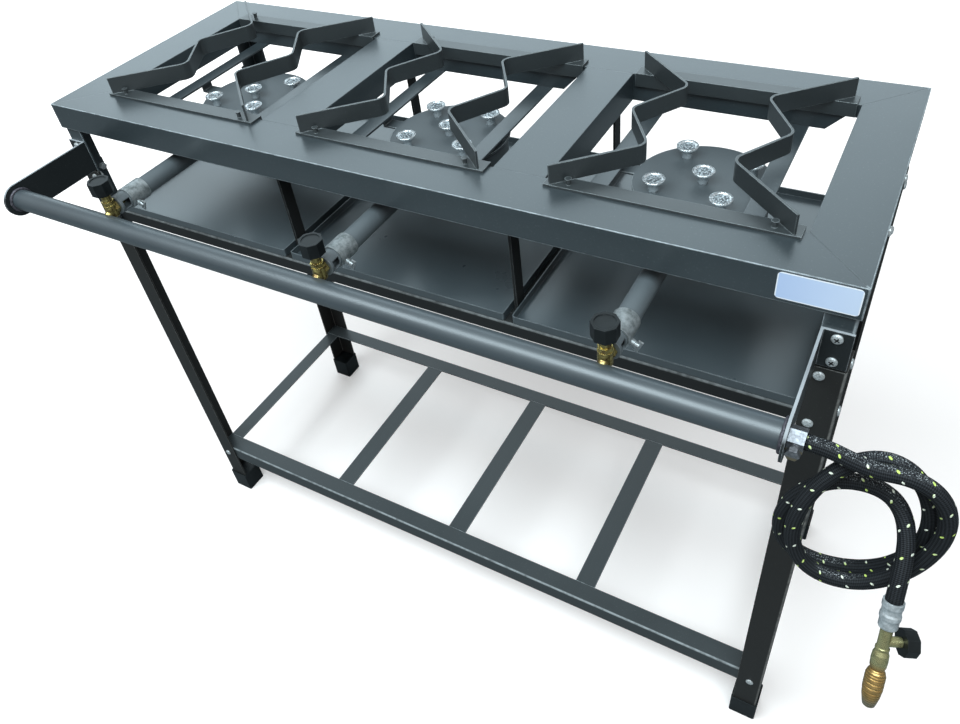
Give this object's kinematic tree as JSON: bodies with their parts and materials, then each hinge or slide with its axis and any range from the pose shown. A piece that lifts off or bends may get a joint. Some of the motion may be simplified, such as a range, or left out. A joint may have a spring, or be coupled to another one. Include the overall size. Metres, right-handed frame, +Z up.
{
  "type": "gas stove",
  "caption": "Free-standing industrial gas stove: burners in an open steel frame on angle legs, lift-off pot grates, slide-out drip trays, lower shelf, valves on a pipe and a coiled hose.",
  "frame": {"origin": "on the floor, in the middle of the stove's footprint, hose left out", "axes": "+X along the stove to the hose end, +Y from the valves to the back, +Z up"},
  "size_m": [1.308, 0.6536, 0.9883],
  "materials": {
    "graphite_paint": "satin graphite paint on folded sheet",
    "dark_paint": "satin dark grey paint on angle steel",
    "burner_enamel": "matt heat-proof dark paint",
    "pipe_paint": "silver grey paint, slightly glossy",
    "tray_sheet": "smooth sheet steel",
    "cap_zinc": "bright textured steel",
    "zinc": "zinc plated",
    "brass": "turned brass",
    "black_plastic": "moulded black plastic",
    "braid": "black braid with light flecks"
  },
  "bodies": {
    "frame": {"frame_front": "graphite_paint", "frame_back": "graphite_paint", "frame_left": "graphite_paint", "frame_right": "graphite_paint", "frame_dividers": "graphite_paint", "leg_stubs": "graphite_paint", "leg_front_left": "dark_paint", "leg_front_right": "dark_paint", "leg_back_left": "dark_paint", "leg_back_right": "dark_paint", "foot_front_left": "black_plastic", "foot_front_right": "black_plastic", "foot_back_left": "black_plastic", "foot_back_right": "black_plastic", "shelf_front": "dark_paint", "shelf_back": "dark_paint", "shelf_left": "dark_paint", "shelf_right": "dark_paint", "shelf_bars": "dark_paint", "tray_rail_front": "dark_paint", "tray_rail_back": "dark_paint", "tray_rail_left": "dark_paint", "tray_rail_right": "dark_paint", "tray_runner_1": "dark_paint", "tray_runner_2": "dark_paint", "tray_hangers": "dark_paint", "burner_1": "burner_enamel", "burner_2": "burner_enamel", "burner_3": "burner_enamel", "burner_caps_1": "cap_zinc", "burner_caps_2": "cap_zinc", "burner_caps_3": "cap_zinc", "burner_straps": "graphite_paint", "valve_1": "brass", "valve_2": "brass", "valve_3": "brass", "manifold": "pipe_paint", "bracket_left": "dark_paint", "bracket_right": "dark_paint", "inlet_fitting": "zinc", "gas_hose": "braid", "hose_ferrule": "zinc", "hose_connector": "brass", "bolts": "zinc"},
    "knob_1": {"valve_knob_1": "black_plastic"},
    "shutter_1": {"air_shutter_1": "zinc"},
    "wing_1": {"wing_screw_1": "zinc"},
    "pot_grate_1": {"grate_1": "graphite_paint"},
    "tray_1": {"drip_tray_1": "tray_sheet"},
    "knob_2": {"valve_knob_2": "black_plastic"},
    "shutter_2": {"air_shutter_2": "zinc"},
    "wing_2": {"wing_screw_2": "zinc"},
    "pot_grate_2": {"grate_2": "graphite_paint"},
    "tray_2": {"drip_tray_2": "tray_sheet"},
    "knob_3": {"valve_knob_3": "black_plastic"},
    "shutter_3": {"air_shutter_3": "zinc"},
    "wing_3": {"wing_screw_3": "zinc"},
    "pot_grate_3": {"grate_3": "graphite_paint"},
    "tray_3": {"drip_tray_3": "tray_sheet"},
    "hand_wheel": {"connector_knob": "black_plastic"}
  },
  "joints": [
    {"name": "knob_1_turn", "type": "hinge", "parent": "frame", "child": "knob_1", "pos_m": [-0.37, -0.246, 0.92], "axis": [0, 0, 1], "range_deg": [0, 270]},
    {"name": "shutter_1_slide", "type": "slide", "parent": "frame", "child": "shutter_1", "axis": [0, -1, 0], "range_m": [0, 0.012]},
    {"name": "wing_1_turn", "type": "hinge", "parent": "shutter_1", "child": "wing_1", "pos_m": [-0.37, -0.211, 0.88905], "axis": [0.9063, 0, -0.4226], "range_deg": [0, 90]},
    {"name": "grate_1_lift", "type": "slide", "parent": "frame", "child": "pot_grate_1", "axis": [0, 0, 1], "range_m": [0, 0.1]},
    {"name": "tray_1_pull", "type": "slide", "parent": "frame", "child": "tray_1", "axis": [0, -1, 0], "range_m": [0, 0.3]},
    {"name": "knob_2_turn", "type": "hinge", "parent": "frame", "child": "knob_2", "pos_m": [0, -0.246, 0.92], "axis": [0, 0, 1], "range_deg": [0, 270]},
    {"name": "shutter_2_slide", "type": "slide", "parent": "frame", "child": "shutter_2", "axis": [0, -1, 0], "range_m": [0, 0.012]},
    {"name": "wing_2_turn", "type": "hinge", "parent": "shutter_2", "child": "wing_2", "pos_m": [0, -0.211, 0.88905], "axis": [0.9063, 0, -0.4226], "range_deg": [0, 90]},
    {"name": "grate_2_lift", "type": "slide", "parent": "frame", "child": "pot_grate_2", "axis": [0, 0, 1], "range_m": [0, 0.1]},
    {"name": "tray_2_pull", "type": "slide", "parent": "frame", "child": "tray_2", "axis": [0, -1, 0], "range_m": [0, 0.3]},
    {"name": "knob_3_turn", "type": "hinge", "parent": "frame", "child": "knob_3", "pos_m": [0.37, -0.246, 0.92], "axis": [0, 0, 1], "range_deg": [0, 270]},
    {"name": "shutter_3_slide", "type": "slide", "parent": "frame", "child": "shutter_3", "axis": [0, -1, 0], "range_m": [0, 0.012]},
    {"name": "wing_3_turn", "type": "hinge", "parent": "shutter_3", "child": "wing_3", "pos_m": [0.37, -0.211, 0.88905], "axis": [0.9063, 0, -0.4226], "range_deg": [0, 90]},
    {"name": "grate_3_lift", "type": "slide", "parent": "frame", "child": "pot_grate_3", "axis": [0, 0, 1], "range_m": [0, 0.1]},
    {"name": "tray_3_pull", "type": "slide", "parent": "frame", "child": "tray_3", "axis": [0, -1, 0], "range_m": [0, 0.3]},
    {"name": "hand_wheel_turn", "type": "hinge", "parent": "frame", "child": "hand_wheel", "pos_m": [0.68369, -0.32673, 0.70565], "axis": [0.8896, 0.4309, -0.1513], "range_deg": [0, 270]}
  ]
}
